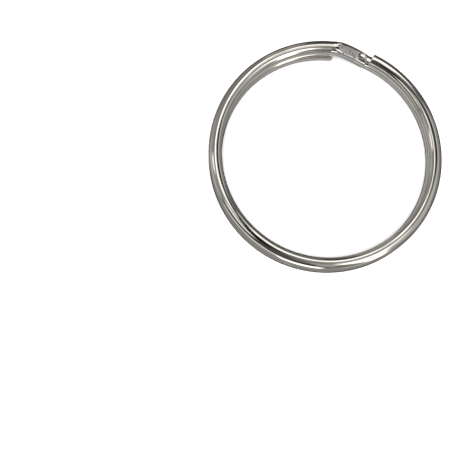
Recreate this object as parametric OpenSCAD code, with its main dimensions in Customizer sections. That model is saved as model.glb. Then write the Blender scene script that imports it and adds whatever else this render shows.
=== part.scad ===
// Split key ring: one steel wire coiled into two turns that lie flat on each other.
// The upper turn steps down into the lower turn at the crossover, and each turn ends
// in a free cut end beside it. Either end can be pried away from the other turn.
// Origin at the ring's centre, halfway through its thickness. +Z is the ring's axis,
// +Y points at the middle of the crossover. Units are millimetres.

/* [Ring] */
// outside diameter over the wire
outer_d = 30; // [20:0.5:50]
// play between the two turns at rest
turn_gap = 0.06; // [0.02:0.01:0.2]
// angle filled by the crossover
crossover_deg = 20.5; // [14:0.5:40]
// how far each cut end tucks in from the round, as the free half of its turn closes in
end_tuck = 0.2; // [0:0.02:0.3]

/* [Cut ends] */
// angle from the middle of the crossover to the upper turn's cut end
upper_end_deg = 11; // [8:0.1:20]
// angle from the middle of the crossover to the lower turn's cut end
lower_end_deg = 8.8; // [8:0.1:20]
// how far each cut face leans from square
cut_lean_deg = 6; // [0:1:20]

/* [Wire] */
// width of the wire across the ring
wire_w = 1.7; // [1:0.05:3]
// thickness of the wire along the ring's axis
wire_h = 1.64; // [1:0.02:3]
// radius of the round wire before its four sides are rolled flat
wire_r = 0.88; // [0.6:0.01:1.7]

/* [Crossover] */
// level stretch left at each end of the step
step_margin_deg = 0.6; // [0.2:0.1:3]
// share of the step taken by the gentle bend at its top
bend_in = 0.3; // [0.15:0.05:0.5]
// share of the step taken by the sharp bend at its foot
bend_out = 0.14; // [0.12:0.02:0.4]

/* [Hidden] */
ring_r = (outer_d - wire_w) / 2;
inner_r = ring_r - wire_w / 2;
pitch = wire_h + turn_gap;
turn_z = pitch / 2;
root_deg = 90 + crossover_deg / 2;
stretches = 8;
stretch_deg = (360 - crossover_deg) / stretches;
last_deg = root_deg + stretch_deg * (stretches - 1);
tuck_shift = end_tuck / 2;
corner_from = acos(wire_w / 2 / wire_r);
corner_to = asin(wire_h / 2 / wire_r);
corner_steps = 5;
step_slices = 32;
over = 1;
steel = [0.78, 0.78, 0.76];

// the round wire rolled flat on four sides
module wire_section() {
    intersection() {
        circle(r = wire_r, $fn = 96);
        square([wire_w, wire_h], center = true);
    }
}

// an arc of the upper turn. The half that ends free has a centre moved towards the
// bottom of the ring and a radius smaller by as much, so the two halves meet smoothly
// there and the cut end tucks in
module arc(from, sweep, shift) {
    translate([0, -shift, turn_z])
        rotate([0, 0, from])
            rotate_extrude(angle = sweep, $fn = 240)
                translate([ring_r - shift, 0])
                    wire_section();
}

// one stretch of the upper turn, counted from the crossover
module stretch(index) {
    arc(root_deg + stretch_deg * index, stretch_deg, index < stretches / 2 ? 0 : tuck_shift);
}

// the last stretch, which ends at its cut face, leaning back at the outside
module end_stretch(end_deg) {
    cut_deg = 450 - end_deg;
    difference() {
        arc(last_deg, cut_deg - last_deg, tuck_shift);
        translate([0, -tuck_shift, 0])
            rotate([0, 0, cut_deg])
                translate([inner_r - tuck_shift, 0, 0])
                    rotate([0, 0, -cut_lean_deg])
                        translate([-over, 0, turn_z - wire_h])
                            cube([wire_w + 2 * over, wire_w, 2 * wire_h]);
    }
}

// the lower turn is the upper one turned half round the Y axis
module flip() {
    rotate([0, 180, 0])
        children();
}

// height of the wire's centre along the step, for t from 0 (upper) to 1 (lower):
// a gentle bend, a straight ramp and a sharp bend
ramp_rate = 1 / (1 - (bend_in + bend_out) / 2);
function fall(t) = t <= 0 ? 0 : t >= 1 ? 1
    : t < bend_in ? ramp_rate * t * t / (2 * bend_in)
    : t > 1 - bend_out ? 1 - ramp_rate * pow(1 - t, 2) / (2 * bend_out)
    : ramp_rate * (t - bend_in / 2);
function step_t(a) = (root_deg - step_margin_deg - a) / (crossover_deg - 2 * step_margin_deg);
function step_z(a) = turn_z - pitch * fall(step_t(a));
function step_slope(a) = atan((step_z(a - 0.01) - step_z(a + 0.01)) / (ring_r * 0.02 * PI / 180));

// the wire's outline, as corner arcs joined by the four flats
function corner(mx, my) = [for (i = [0:corner_steps])
    let (s = mx * my > 0 ? i : corner_steps - i)
    let (c = corner_from + (corner_to - corner_from) * s / corner_steps)
    [mx * wire_r * cos(c), my * wire_r * sin(c)]];
outline = concat(corner(1, 1), corner(-1, 1), corner(-1, -1), corner(1, -1));
count = len(outline);

// one slice of the step, square to the wire's own direction
function slice(a) = let (s = step_slope(a))
    [for (p = outline)
        let (r = ring_r + p[0])
        let (along = p[1] * sin(s))
        [r * cos(a) - along * sin(a), r * sin(a) + along * cos(a), step_z(a) + p[1] * cos(s)]];
slice_points = [for (k = [0:step_slices])
    each slice(root_deg - crossover_deg * k / step_slices)];
side_faces = [for (k = [0:step_slices - 1], i = [0:count - 1])
    let (j = (i + 1) % count)
    each [[k * count + i, k * count + j, (k + 1) * count + j],
        [k * count + i, (k + 1) * count + j, (k + 1) * count + i]]];
first_face = [[for (i = [0:count - 1]) count - 1 - i]];
last_face = [[for (i = [0:count - 1]) step_slices * count + i]];

module crossover() {
    color(steel)
        polyhedron(points = slice_points, faces = concat(side_faces, first_face, last_face));
}

module upper_turn_root() {
    color(steel) stretch(0);
}

module upper_turn_span_1() {
    color(steel) stretch(1);
}

module upper_turn_span_2() {
    color(steel) stretch(2);
}

module upper_turn_span_3() {
    color(steel) stretch(3);
}

module upper_turn_span_4() {
    color(steel) stretch(4);
}

module upper_turn_span_5() {
    color(steel) stretch(5);
}

module upper_turn_span_6() {
    color(steel) stretch(6);
}

module upper_turn_free_end() {
    color(steel) end_stretch(upper_end_deg);
}

module lower_turn_root() {
    color(steel) flip() stretch(0);
}

module lower_turn_span_1() {
    color(steel) flip() stretch(1);
}

module lower_turn_span_2() {
    color(steel) flip() stretch(2);
}

module lower_turn_span_3() {
    color(steel) flip() stretch(3);
}

module lower_turn_span_4() {
    color(steel) flip() stretch(4);
}

module lower_turn_span_5() {
    color(steel) flip() stretch(5);
}

module lower_turn_span_6() {
    color(steel) flip() stretch(6);
}

module lower_turn_free_end() {
    color(steel) flip() end_stretch(lower_end_deg);
}

crossover();
upper_turn_root();
upper_turn_span_1();
upper_turn_span_2();
upper_turn_span_3();
upper_turn_span_4();
upper_turn_span_5();
upper_turn_span_6();
upper_turn_free_end();
lower_turn_root();
lower_turn_span_1();
lower_turn_span_2();
lower_turn_span_3();
lower_turn_span_4();
lower_turn_span_5();
lower_turn_span_6();
lower_turn_free_end();
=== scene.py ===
# Split key ring in nickel plated spring wire, drawn over the CAD frame. Metres, row frame.
import math

import bpy
import numpy as np
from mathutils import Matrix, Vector


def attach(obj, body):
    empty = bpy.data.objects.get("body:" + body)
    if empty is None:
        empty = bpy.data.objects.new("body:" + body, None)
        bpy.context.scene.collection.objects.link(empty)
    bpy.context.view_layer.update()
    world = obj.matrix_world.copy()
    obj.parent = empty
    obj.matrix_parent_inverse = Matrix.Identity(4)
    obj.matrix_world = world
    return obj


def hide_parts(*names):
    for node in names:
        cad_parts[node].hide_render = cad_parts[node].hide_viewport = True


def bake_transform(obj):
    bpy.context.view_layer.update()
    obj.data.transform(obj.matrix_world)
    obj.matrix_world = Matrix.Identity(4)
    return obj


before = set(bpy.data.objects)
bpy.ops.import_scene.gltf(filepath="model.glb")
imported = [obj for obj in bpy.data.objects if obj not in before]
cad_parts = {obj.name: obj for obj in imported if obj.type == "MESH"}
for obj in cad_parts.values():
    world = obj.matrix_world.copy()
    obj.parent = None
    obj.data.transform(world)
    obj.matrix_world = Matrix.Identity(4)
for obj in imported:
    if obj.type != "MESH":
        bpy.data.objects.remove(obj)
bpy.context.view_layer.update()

# ---------------------------------------------------------------- sizes
# the wire, as the CAD has it
OUTER_D = 0.030
WIRE_W = 0.00170
WIRE_H = 0.00164
TURN_GAP = 0.00006
RING_R = (OUTER_D - WIRE_W) / 2
PITCH = WIRE_H + TURN_GAP
TURN_Z = PITCH / 2
HALF_CROSSOVER = math.radians(10.25)
STEP_MARGIN = math.radians(0.6)
BEND_IN, BEND_OUT = 0.3, 0.14
STRETCHES = 8
STRETCH = (2 * math.pi - 2 * HALF_CROSSOVER) / STRETCHES
TUCK_SHIFT = 0.0001
CUT_AT = {"upper": math.radians(360 - 11), "lower": math.radians(360 - 8.8)}
CUT_LEAN = math.radians(6)

# the mesh: points round the wire, rings along it, and more of them in the crossover
AROUND = 72
RING_EVERY = math.radians(1.0)
CROSSOVER_FINER = 4

# the cut ends: how long the wire takes to lean over to the slanted cut, how far each rim is
# rounded, and how far in and how deep the dished cut face goes
LEAN_LENGTH = 0.0012
RIM = {"upper": 0.00006, "lower": 0.00022}
RIM_BENDS = (22.5, 45, 67.5, 90)
FACE_REACH, FACE_DISH = 0.00076, 0.00002
FACE_RINGS = (0.2, 0.4, 0.6, 0.8, 0.95)

# how square the wire's section is (2 is an ellipse), what the forming tool added to that at
# the crossover, and the shares that it took off the width and the thickness. It pressed
# fully up to PRESS_HELD from the middle, and the press fades out over PRESS_FADE
SQUARE, SQUARE_PRESSED = 2.12, 1.5
PRESSED_OFF_W, PRESSED_OFF_H = 0.004, 0.03
PRESS_HELD, PRESS_FADE = math.radians(5), math.radians(6)
# within this distance of the middle the mesh's own normals take over from the section's
PRESSED_HALF, PRESSED_BLEND = 0.0042, 0.0008
# the forming tool's marks on top of the crossover: from (along, across), to (along, across),
# width, depth
DENTS = [
    (-0.0004, 0.0, 0.0006, -0.0005, 0.00010, 0.00006),
    (-0.0018, 0.0002, -0.0016, 0.0001, 0.00010, 0.00004),
    (-0.0012, -0.0002, -0.0011, -0.0001, 0.00006, 0.00002),
    (0.0017, 0.0004, 0.0019, 0.0001, 0.00006, 0.00005),
]

# the flat that the cut-off tool shaved at the foot of the step is a plane. It goes through
# a point that lies inwards and up from the wire's centre at SHAVE_AT
SHAVE_AT = math.radians(6.4)
SHAVE_IN, SHAVE_UP = 0.0001, 0.00078
SHAVE_NORMAL = Vector((0.13, 0.12, 0.98)).normalized()
# uphill it stops at a slanted wall, across the wire between two edges, and downhill it
# fades out between two angles
SHAVE_WALL, SHAVE_SLANT, SHAVE_WALL_WIDTH = 0.00078, 0.6, 0.00012
SHAVE_LOW, SHAVE_HIGH, SHAVE_EDGE_WIDTH = -0.0002, 0.00056, 0.0001
SHAVE_HELD, SHAVE_END = math.radians(7.3), math.radians(8.3)

# ---------------------------------------------------------------- the wire's shape
# phi runs along the whole wire: 0 at the middle of the crossover, negative up the upper
# turn to its cut end, positive down the lower turn to its cut end


def ease(t):
    t = min(max(t, 0.0), 1.0)
    return t * t * (3 - 2 * t)


def height(phi):
    """The step: a gentle bend, a straight ramp and a sharp bend."""
    t = (phi + HALF_CROSSOVER - STEP_MARGIN) / (2 * HALF_CROSSOVER - 2 * STEP_MARGIN)
    t = min(max(t, 0.0), 1.0)
    rate = 1 / (1 - (BEND_IN + BEND_OUT) / 2)
    if t < BEND_IN:
        fall = rate * t * t / (2 * BEND_IN)
    elif t > 1 - BEND_OUT:
        fall = 1 - rate * (1 - t) ** 2 / (2 * BEND_OUT)
    else:
        fall = rate * (t - BEND_IN / 2)
    return TURN_Z - PITCH * fall


def crimp(phi):
    """1 where the forming tool pressed the crossover, 0 on the plain wire."""
    return 1 - ease((abs(phi) - PRESS_HELD) / PRESS_FADE)


def section(phi):
    """The wire's outline at phi: points and outward normals in the section's own plane."""
    press = crimp(phi)
    power = SQUARE + SQUARE_PRESSED * press
    a = WIRE_W / 2 * (1 - PRESSED_OFF_W * press)
    b = WIRE_H / 2 * (1 - PRESSED_OFF_H * press)
    out = []
    for i in range(AROUND):
        w = 2 * math.pi * i / AROUND
        c, s = math.cos(w), math.sin(w)
        x = a * math.copysign(abs(c) ** (2 / power), c)
        y = b * math.copysign(abs(s) ** (2 / power), s)
        nx = math.copysign((abs(x) / a) ** (power - 1) / a, x)
        ny = math.copysign((abs(y) / b) ** (power - 1) / b, y)
        n = math.hypot(nx, ny)
        out.append((x, y, nx / n, ny / n))
    return out


def dent(s, x):
    """How deep the forming tool marked the top of the crossover, s along the wire, x across."""
    deep = 0.0
    for s0, x0, s1, x1, wide, depth in DENTS:
        ds, dx = s1 - s0, x1 - x0
        t = min(max(((s - s0) * ds + (x - x0) * dx) / (ds * ds + dx * dx), 0.0), 1.0)
        off = math.hypot(s - s0 - ds * t, x - x0 - dx * t)
        deep += depth * math.exp(-((off / wide) ** 2))
    return deep


def frame_at(phi):
    """The wire's centre, and its radial, upward and forward directions."""
    az = math.pi / 2 - phi
    shift = TUCK_SHIFT if abs(phi) > math.pi else 0.0
    d = 1e-4
    slope = (height(phi + d) - height(phi - d)) / (2 * d * RING_R)
    radial = Vector((math.cos(az), math.sin(az), 0))
    level = Vector((math.sin(az), -math.cos(az), 0))
    forward = (level + Vector((0, 0, slope))).normalized()
    up = forward.cross(radial)
    return radial * (RING_R - shift) + Vector((0, -shift, height(phi))), radial, up, forward


def shaved(p, up, phi, x):
    """The point p moved down to the tool's flat, where it stands above it."""
    centre, radial, top, _ = frame_at(SHAVE_AT)
    corner = centre - radial * SHAVE_IN + top * SHAVE_UP
    over = (p - corner).dot(SHAVE_NORMAL)
    if over <= 0:
        return p
    share = ease((phi * RING_R - SHAVE_WALL - SHAVE_SLANT * x) / SHAVE_WALL_WIDTH)
    share *= ease((x - SHAVE_LOW) / SHAVE_EDGE_WIDTH) * ease((SHAVE_HIGH - x) / SHAVE_EDGE_WIDTH)
    share *= 1 - ease((phi - SHAVE_HELD) / (SHAVE_END - SHAVE_HELD))
    return p - up * (over / up.dot(SHAVE_NORMAL) * share)


def ring_of(phi, lean=0.0, shrink=0.0, along=0.0):
    """One ring round the wire: points, normals, and places on the straightened wire. lean
    shears it for a slanted cut, shrink draws it in, along moves it along the wire."""
    centre, radial, up, forward = frame_at(phi)
    rows = []
    for x, y, nx, ny in section(phi):
        x, y = x - nx * shrink, y - ny * shrink
        if y > 0 and abs(phi) < HALF_CROSSOVER:
            y -= dent(phi * RING_R, x)
        shift = along + lean * (x + WIRE_W / 2)
        p = centre + radial * x + up * y + forward * shift
        if y > 0 and 0 < phi < HALF_CROSSOVER:
            p = shaved(p, up, phi, x)
        n = (radial * nx + up * ny).normalized()
        rows.append((p, n, (phi * RING_R + shift, x, y)))
    return rows


def bands(rings, around):
    """The faces between so many rings, each of so many points."""
    faces = []
    for k in range(rings - 1):
        near, far = k * around, (k + 1) * around
        for i in range(around):
            j = (i + 1) % around
            faces.append((near + i, near + j, far + j, far + i))
    return faces


def linked(name, data):
    """A new object in the scene."""
    obj = bpy.data.objects.new(name, data)
    bpy.context.scene.collection.objects.link(obj)
    return obj


def wire(name, start, stop, finer=1, cap=0, rim=0.0):
    """A piece of the wire from start to stop. cap is -1 or 1 where stop is a cut end."""
    count = finer * max(2, math.ceil(abs(stop - start) / RING_EVERY))
    rings = []
    lean = -cap * math.tan(CUT_LEAN)
    for i in range(count + 1):
        phi = start + (stop - start) * i / count
        t = 1 - min(abs(stop - phi) * RING_R / LEAN_LENGTH, 1) if cap else 0
        rings.append(ring_of(phi, lean * t * t, along=-cap * rim * t))
    if cap:
        for bend in RIM_BENDS:
            c, s = math.cos(math.radians(bend)), math.sin(math.radians(bend))
            rings.append(ring_of(stop, lean, shrink=rim * (1 - c), along=cap * rim * (s - 1)))
        for share in FACE_RINGS:
            shrink = rim + (FACE_REACH - rim) * share
            rings.append(ring_of(stop, lean, shrink, along=-cap * FACE_DISH * share))
    verts, normals, straight = zip(*(row for ring in rings for row in ring))
    faces = bands(len(rings), AROUND)
    if cap:
        faces.append(tuple(range((len(rings) - 1) * AROUND, len(rings) * AROUND)))
    if stop < start:
        faces = [face[::-1] for face in faces]
    mesh = bpy.data.meshes.new(name)
    mesh.from_pydata([tuple(v) for v in verts], [], faces)
    mesh.update()
    attribute = mesh.attributes.new("wire", "FLOAT_VECTOR", "POINT")
    attribute.data.foreach_set("vector", np.array(straight, np.float32).ravel())
    mesh.shade_smooth()
    # the section's normals on the plain wire, so that pieces meet without a seam, and the
    # mesh's own at the cut ends and where the tools worked
    custom = []
    plain = (count - 2) * AROUND
    for i, vertex in enumerate(mesh.vertices):
        if cap:
            custom.append(normals[i] if i < plain else vertex.normal.copy())
        else:
            share = ease((PRESSED_HALF - abs(straight[i][0])) / PRESSED_BLEND)
            custom.append(normals[i].lerp(vertex.normal, share).normalized())
    mesh.normals_split_custom_set_from_vertices([tuple(n) for n in custom])
    return linked(name, mesh)


# ---------------------------------------------------------------- the plating
LIGHT_PLATE = (0.66, 0.635, 0.588, 1)
DARK_PLATE = (0.60, 0.574, 0.525, 1)
# darker colour for the die's fine lines: painted shade in their grooves
GROOVE_PAINTED_SHADE = (0.30, 0.28, 0.25, 1)
# the tool-pressed flat's colour: its worn plate, darkened and tinted violet grey as a painted
# reflection of the dim tent above
PRESSED_PLATE_AND_PAINTED_REFLECTION = (0.50, 0.465, 0.47, 1)
FLECK = (0.16, 0.12, 0.09, 1)


def nickel(name):
    """Bright nickel over drawn wire. Every texture lies on the straightened wire: x along it,
    y and z across."""
    mat = bpy.data.materials.new(name)
    mat.use_nodes = True
    nt = mat.node_tree
    nt.nodes.clear()
    out = nt.nodes.new("ShaderNodeOutputMaterial")
    bsdf = nt.nodes.new("ShaderNodeBsdfPrincipled")
    nt.links.new(bsdf.outputs[0], out.inputs[0])
    bsdf.inputs["Metallic"].default_value = 1.0
    where = nt.nodes.new("ShaderNodeAttribute")
    where.attribute_name = "wire"

    def feed(socket, value):
        if isinstance(value, bpy.types.NodeSocket):
            nt.links.new(value, socket)
        else:
            socket.default_value = value

    def noise(scale, detail, rough=0.5, distortion=0.0):
        place = nt.nodes.new("ShaderNodeMapping")
        feed(place.inputs["Scale"], scale)
        feed(place.inputs["Vector"], where.outputs["Vector"])
        tex = nt.nodes.new("ShaderNodeTexNoise")
        feed(tex.inputs["Scale"], 1.0)
        feed(tex.inputs["Detail"], detail)
        feed(tex.inputs["Roughness"], rough)
        feed(tex.inputs["Distortion"], distortion)
        feed(tex.inputs["Vector"], place.outputs[0])
        return tex.outputs["Fac"]

    def ramp(value, low, high, a=0.0, b=1.0):
        m = nt.nodes.new("ShaderNodeMapRange")
        feed(m.inputs["Value"], value)
        feed(m.inputs["From Min"], low)
        feed(m.inputs["From Max"], high)
        feed(m.inputs["To Min"], a)
        feed(m.inputs["To Max"], b)
        return m.outputs[0]

    def math_node(op, a, b):
        m = nt.nodes.new("ShaderNodeMath")
        m.operation = op
        feed(m.inputs[0], a)
        feed(m.inputs[1], b)
        return m.outputs[0]

    def mix(factor, a, b):
        m = nt.nodes.new("ShaderNodeMix")
        m.data_type = "RGBA"
        feed(m.inputs["Factor"], factor)
        feed(m.inputs["A"], a)
        feed(m.inputs["B"], b)
        return m.outputs["Result"]

    def bump(heights, distance, strength, before=None):
        b = nt.nodes.new("ShaderNodeBump")
        feed(b.inputs["Height"], heights)
        feed(b.inputs["Distance"], distance)
        feed(b.inputs["Strength"], strength)
        if before:
            feed(b.inputs["Normal"], before)
        return b.outputs[0]

    draw = noise((50, 7000, 7000), 3.0)  # fine lines left by the drawing die
    lines = noise((25, 3000, 3000), 1.0)  # and its coarser ones
    cloud = noise((350, 900, 900), 4.0)  # slow clouding of the plating
    pits = noise((14000, 14000, 14000), 2.0)  # small pits in it
    wave = noise((420, 260, 260), 1.0)  # the coiling rollers' faint waves

    # how much the forming tool pressed and rubbed here
    along = nt.nodes.new("ShaderNodeSeparateXYZ")
    feed(along.inputs[0], where.outputs["Vector"])
    off = math_node("ABSOLUTE", along.outputs["X"], 0.0)
    uphill = ramp(along.outputs["X"], 0.0004, 0.0009, 1.0, 0.0)
    pressed = math_node("MULTIPLY", ramp(off, 0.0011, 0.0026, 1.0, 0.0), uphill)
    rub = noise((3000, 5000, 5000), 4.0, 0.6, 0.6)
    marks = math_node("MULTIPLY", ramp(rub, 0.6, 0.7), pressed)

    colour = mix(ramp(cloud, 0.35, 0.65), DARK_PLATE, LIGHT_PLATE)
    # painted shade along the die's fine grooves
    colour = mix(ramp(draw, 0.54, 0.66, 0.0, 0.6), colour, GROOVE_PAINTED_SHADE)
    # the pressed flat: worn plate, with a painted reflection in its darker violet grey
    colour = mix(math_node("MULTIPLY", pressed, 0.8), colour, PRESSED_PLATE_AND_PAINTED_REFLECTION)
    colour = mix(math_node("MULTIPLY", marks, 0.7), colour, FLECK)
    feed(bsdf.inputs["Base Color"], colour)

    rough = ramp(cloud, 0.3, 0.7, 0.005, 0.02)
    rough = math_node("ADD", rough, ramp(draw, 0.5, 0.8, 0.0, 0.03))
    rough = math_node("ADD", rough, math_node("MULTIPLY", marks, 0.22))
    rough = math_node("ADD", rough, math_node("MULTIPLY", pressed, 0.03))
    feed(bsdf.inputs["Roughness"], rough)

    normal = bump(wave, 0.00003, 0.5)
    normal = bump(lines, 0.00004, 0.3, normal)
    normal = bump(draw, 0.000008, 0.6, normal)
    normal = bump(ramp(pits, 0.68, 0.8), 0.000004, 0.3, normal)
    normal = bump(marks, 0.00003, 0.7, normal)
    feed(bsdf.inputs["Normal"], normal)
    return mat


plate = nickel("nickel_plate")

# ---------------------------------------------------------------- the pieces
# one piece stands for each CAD node. Most run from the middle of one stretch to the middle
# of the next, across the hinge between them
LEAF = ["span_1", "span_2", "span_3", "span_4", "span_5", "span_6", "free_end"]


def middle_of(index):
    """phi of the middle of a stretch, counted and measured away from the crossover."""
    return HALF_CROSSOVER + STRETCH * index + STRETCH / 2


def stand_for(piece, node):
    """The piece takes the node's place and its finish."""
    piece.data.materials.append(plate)
    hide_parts(node)


piece = wire("crossover_wire", -middle_of(0), middle_of(0), CROSSOVER_FINER)
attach(piece, "coil")
stand_for(piece, "crossover")
for leaf, side in (("upper", -1), ("lower", 1)):
    before = "coil"
    node = f"{leaf}_turn_root"
    for i, part in enumerate(LEAF):
        body = f"{leaf}_{part}"
        low, high = side * middle_of(i), side * middle_of(i + 1)
        piece = wire(f"{node}_wire", low, high)
        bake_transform(piece)
        stand_for(piece, node)
        before, node = body, f"{leaf}_turn_{part}"
    low, high = side * middle_of(STRETCHES - 1), side * CUT_AT[leaf]
    piece = wire(f"{node}_wire", low, high, cap=side, rim=RIM[leaf])
    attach(piece, before)
    stand_for(piece, node)

# ---------------------------------------------------------------- what the metal sees
# bright metal shows nothing but its surroundings, so the metal alone sees a small tent of
# dim paper with bright panels and dark cards, and a paper floor with the ring's shadow
# painted into its glow. They stand still and light nothing else. The tent reaches a little
# below the horizon, and its axes and the floor's are turned from X and Y
TENT_R = 0.110
TENT_TURN = math.radians(14.25)
TENT_REACH = math.radians(91.5)
TENT_ROWS, TENT_COLUMNS, FLOOR_COLUMNS = 61, 240, 120
PAPER_STRENGTH = 1.15
FLOOR_Z = -(TURN_Z + WIRE_H / 2)
UNDER_FLOOR = 0.00001
PLAIN = (1.0, 1.0, 1.0)
WARM = (1.0, 0.99, 0.97)
CREAM = (1.0, 0.96, 0.84)
BROWN = (1.0, 0.97, 0.92)
VIOLET = (1.0, 0.97, 1.04)
TENT = (0.27, 0.267, 0.265)
# how round a panel's corners are, as a share of half its shorter side
PANEL_ROUND = 0.6
# each panel: name, place across and up from the zenith, half length, half width, turn, width
# of the soft edge, all in degrees, then glow and tint. A later one lies over an earlier one
PANELS = [
    ("grey_upper_left", -40, 44, 30, 28, 0, 14, 0.3, BROWN),
    ("light_left", -74, 10, 24, 34, 0, 14, 0.46, PLAIN),
    ("light_right", 44, 2, 20, 38, 0, 12, 0.56, PLAIN),
    ("dim_far_right", 81, 4, 18, 40, 0, 8, 0.29, VIOLET),
    ("dim_right_spot", 80, -13, 8, 5, 0, 5, 0.2, VIOLET),
    ("light_far_right", 72, -32, 18, 6, 10, 6, 0.38, PLAIN),
    ("dim_top_right", 37, 58, 26, 16, 90, 6, 0.22, PLAIN),
    ("dark_top", 10, 68, 24, 10, 90, 5, 0.12, BROWN),
    ("black_top", 11, 81, 11, 6, 90, 4, 0.05, PLAIN),
    ("olive_top", -10, 72, 18, 8, 90, 5, 0.36, CREAM),
    ("light_top_left", -23, 75, 13, 4, 100, 4, 0.45, PLAIN),
    ("dark_left_strip", -22, 48, 16, 6, 90, 5, 0.14, BROWN),
    ("dark_violet", 75, 60, 16, 12, -40, 6, 0.16, VIOLET),
    ("dark_rim", 44, 58, 26, 7, 98, 5, 0.14, PLAIN),
    ("black_rim", 51, 72, 14, 5, 120, 4, 0.03, PLAIN),
    ("dark_corner", 57, 50, 18, 9, -50, 5, 0.12, PLAIN),
    ("left_rim", -91, 6, 22, 7, 90, 5, 1.0, WARM),
    ("low_left", -42, -52, 40, 13, -30, 8, 0.85, PLAIN),
    ("low_left_far", -72, -48, 22, 8, -52, 6, 0.6, PLAIN),
    ("low_left_black", -70, -58, 20, 4, -52, 3, 0.02, PLAIN),
    ("low_rim", -13, -78, 20, 17, 0, 6, 1.9, PLAIN),
    ("olive_low", 15, -76, 16, 8, 90, 5, 0.34, CREAM),
    ("cream_rim", 44, -70, 24, 13, 38, 6, 0.6, CREAM),
    ("dark_low", -12, -30, 22, 13, -30, 6, 0.11, BROWN),
    ("black_left", -57, -24, 10, 6, -48, 4, 0.01, PLAIN),
    ("black_middle", -40, -32, 14, 10, -25, 4, 0.005, PLAIN),
    ("black_low", -10, -48, 22, 7, -18, 4, 0.005, PLAIN),
    ("grey_gap", 9, -30, 18, 5, 90, 4, 0.5, PLAIN),
    ("white_low", 33, -40, 26, 7.5, -57, 7, 2.0, WARM),
    ("white_neck", 20, -15, 15, 8, 92, 4, 1.9, PLAIN),
    ("dim_neck", 4, 7, 14, 5, 10, 5, 0.4, PLAIN),
    ("grey_strip", 16, -45, 12, 3, 90, 3, 0.17, PLAIN),
    ("pink_patch", -22, -11, 14, 8, 30, 5, 0.95, WARM),
    ("pink_neck", -15, 8, 10, 5, 50, 4, 0.75, WARM),
    ("white_bar", -45, 8.5, 14, 4.5, 0, 4, 1.2, PLAIN),
    ("white_top", -7, 23, 18, 6, 92, 4, 1.8, PLAIN),
    ("white_right", 17, 38, 18, 7, 4, 4, 1.8, PLAIN),
    ("white_fan", 18, 30, 20, 4.5, 40, 3, 1.6, PLAIN),
    ("dim_middle", -6, -12, 14, 6, 62, 4, 0.09, PLAIN),
    ("dark_line_low", -7, -7, 9, 3, 65, 2, 0.02, PLAIN),
    ("dark_line", 2, 5, 7, 3.5, 50, 2, 0.0, PLAIN),
    ("dark_line_top", 15, 16, 6, 2.5, 25, 2, 0.1, PLAIN),
    ("dark_right", 23, 16, 10, 6, 10, 3, 0.03, PLAIN),
    ("dark_tip", 38, 33, 9, 2, 45, 2, 0.1, VIOLET),
]
# the floor's painted shadow of the ring, in millimetres: its middle and radius, how dark it
# is painted, and where the inside of the ring ends
SHADE_X, SHADE_Y, SHADE_R = 0.5, 0.8, 14.15
SHADE_DARK = 0.03
INSIDE_R = 14


def tent_glow(across, up):
    """The tent's colour and brightness in one direction."""
    colour = TENT
    for _, x, y, half_l, half_w, turn, soft, glow, tint in PANELS:
        c, s = math.cos(math.radians(turn)), math.sin(math.radians(turn))
        dx, dy = across - x, up - y
        corner = PANEL_ROUND * min(half_l, half_w)
        a = abs(dx * c + dy * s) - half_l + corner
        b = abs(dy * c - dx * s) - half_w + corner
        outside = math.hypot(max(a, 0), max(b, 0)) + min(max(a, b), 0) - corner
        share = ease(0.5 - outside / soft)
        colour = [k * (1 - share) + glow * t * share for k, t in zip(colour, tint)]
    return colour


def beside_shade(off, shade, rim, rim_at, rim_half):
    """How lit the floor is painted: a painted shadow up to shade from the shadow's middle line,
    with a painted brighter rim further off."""
    return ease(off - shade) * (1 + rim * ease(1 - abs(off - rim_at) / rim_half))


def floor_glow(x, y):
    """The paper as the metal sees it, with light and shade painted into its glow: painted
    dimmer to the upper right outside the ring and to the lower left inside it, and painted
    dark where the ring would shade it."""
    r = math.hypot(x, y)
    off = abs(math.hypot(x - SHADE_X, y - SHADE_Y) - SHADE_R)
    if r < INSIDE_R:
        away = 0.5 - 0.5 * (0.71 * x + 0.71 * y) / max(r, 1)
        # painted light on the paper inside the ring, dimmer to the lower left
        painted_glow = 0.4 - 0.34 * ease(1.6 * away - 0.6)
        lit = beside_shade(off, 1.4, 0.5, 3.2, 1.6)
    else:
        away = 0.5 + 0.5 * (0.54 * x + 0.84 * y) / r
        painted_glow = 0.34 - 0.28 * ease(away)
        lit = beside_shade(off, 2.5, 0.3, 4.2, 1.2)
    # the painted shadow and rim darken and lighten the painted light, down to SHADE_DARK
    return [SHADE_DARK + (painted_glow - SHADE_DARK) * lit] * 3


def glowing_paper():
    mat = bpy.data.materials.new("glowing_paper")
    mat.use_nodes = True
    nt = mat.node_tree
    nt.nodes.clear()
    where = nt.nodes.new("ShaderNodeAttribute")
    where.attribute_name = "glow"
    glow = nt.nodes.new("ShaderNodeEmission")
    out = nt.nodes.new("ShaderNodeOutputMaterial")
    nt.links.new(where.outputs["Color"], glow.inputs["Color"])
    glow.inputs["Strength"].default_value = PAPER_STRENGTH
    nt.links.new(glow.outputs[0], out.inputs[0])
    mat.cycles.emission_sampling = "NONE"  # it is seen in reflections and isn't a lamp
    return mat


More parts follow.
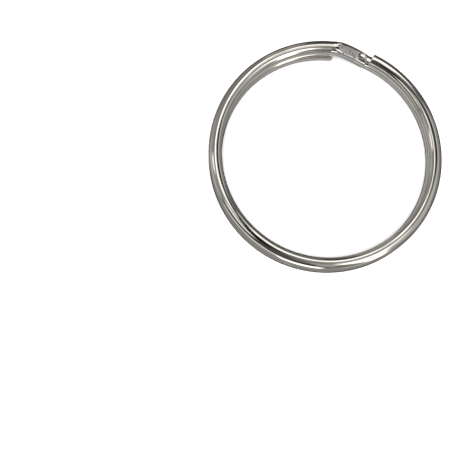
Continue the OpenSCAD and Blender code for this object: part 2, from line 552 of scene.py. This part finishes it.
def seen_by_metal(name, painted_glow, rows, columns, glow, closed=False):
    """A sheet of rings of points round the Z axis. Each row is a radius, a height, and the
    distance from the axis as glow() takes it. closed fills the first ring."""
    verts, glows = [], []
    for radius, z, distance in rows:
        for j in range(columns):
            az = 2 * math.pi * j / columns
            turned = az + TENT_TURN
            verts.append((radius * math.cos(turned), radius * math.sin(turned), z))
            glows.append((*glow(distance * math.cos(az), distance * math.sin(az)), 1))
    faces = bands(len(rows), columns)
    if closed:
        faces.append(tuple(range(columns)))
    mesh = bpy.data.meshes.new(name)
    mesh.from_pydata(verts, [], faces)
    attribute = mesh.attributes.new("glow", "FLOAT_COLOR", "POINT")
    attribute.data.foreach_set("color", np.array(glows, np.float32).ravel())
    mesh.materials.append(painted_glow)
    sheet = linked(name, mesh)
    sheet.visible_camera = False
    sheet.visible_diffuse = False
    sheet.visible_shadow = False


painted_glow = glowing_paper()
# the first row is a hair off the zenith, and closed
leans = [TENT_REACH * (i + 0.02) / (TENT_ROWS - 1) for i in range(TENT_ROWS)]
rows = [(TENT_R * math.sin(lean), TENT_R * math.cos(lean), math.degrees(lean)) for lean in leans]
seen_by_metal("tent", painted_glow, rows, TENT_COLUMNS, tent_glow, closed=True)
# rows half a millimetre apart near the ring, then wider and wider
radii = [0.5 * i for i in range(60)] + [30 * 1.2 ** i for i in range(9)]
rows = [(r / 1000, FLOOR_Z - UNDER_FLOOR, r) for r in radii]
# the floor the metal sees, with the ring's shadow and the light's falloff painted into its glow
seen_by_metal("floor_in_metal_painted_shade", painted_glow, rows, FLOOR_COLUMNS, floor_glow)

# ---------------------------------------------------------------- the studio
FLOOR_HALF = 1.2


def pale_floor():
    """The plain sheet under the ring that the camera sees and the metal doesn't."""
    corners = [(-1, -1), (1, -1), (1, 1), (-1, 1)]
    verts = [(x * FLOOR_HALF, y * FLOOR_HALF, FLOOR_Z) for x, y in corners]
    mesh = bpy.data.meshes.new("floor")
    mesh.from_pydata(verts, [], [(0, 1, 2, 3)])
    mat = bpy.data.materials.new("floor")
    mat.use_nodes = True
    card = mat.node_tree.nodes["Principled BSDF"]
    card.inputs["Base Color"].default_value = (0.95, 0.95, 0.95, 1)
    card.inputs["Roughness"].default_value = 0.95
    card.inputs["Specular IOR Level"].default_value = 0.0
    mesh.materials.append(mat)
    floor = linked("floor", mesh)
    floor.visible_glossy = False


pale_floor()

world = bpy.data.worlds.new("studio")
bpy.context.scene.world = world
world.use_nodes = True
backdrop = world.node_tree.nodes["Background"]
backdrop.inputs["Color"].default_value = (0.9, 0.9, 0.9, 1)
backdrop.inputs["Strength"].default_value = 0.9

# one soft light, above and on the camera's side, makes the faint shadows
softbox = bpy.data.lights.new("top", "AREA")
softbox.size = 0.3
softbox.energy = 5.0
top = linked("top", softbox)
top.location = (-0.055, -0.16, 0.68)
top.rotation_euler = (math.radians(13), math.radians(-4.5), 0)
top.visible_glossy = False
top.visible_camera = False

camera_data = bpy.data.cameras.new("camera")
camera_data.lens = 73.0
camera_data.clip_start = 0.005
camera = linked("camera", camera_data)
camera.location = (-0.01181, -0.033666, 0.118216)
camera.rotation_euler = (math.radians(9.207), math.radians(-3.971), math.radians(14.126))
bpy.context.scene.camera = camera
bpy.context.scene.view_settings.view_transform = "Standard"
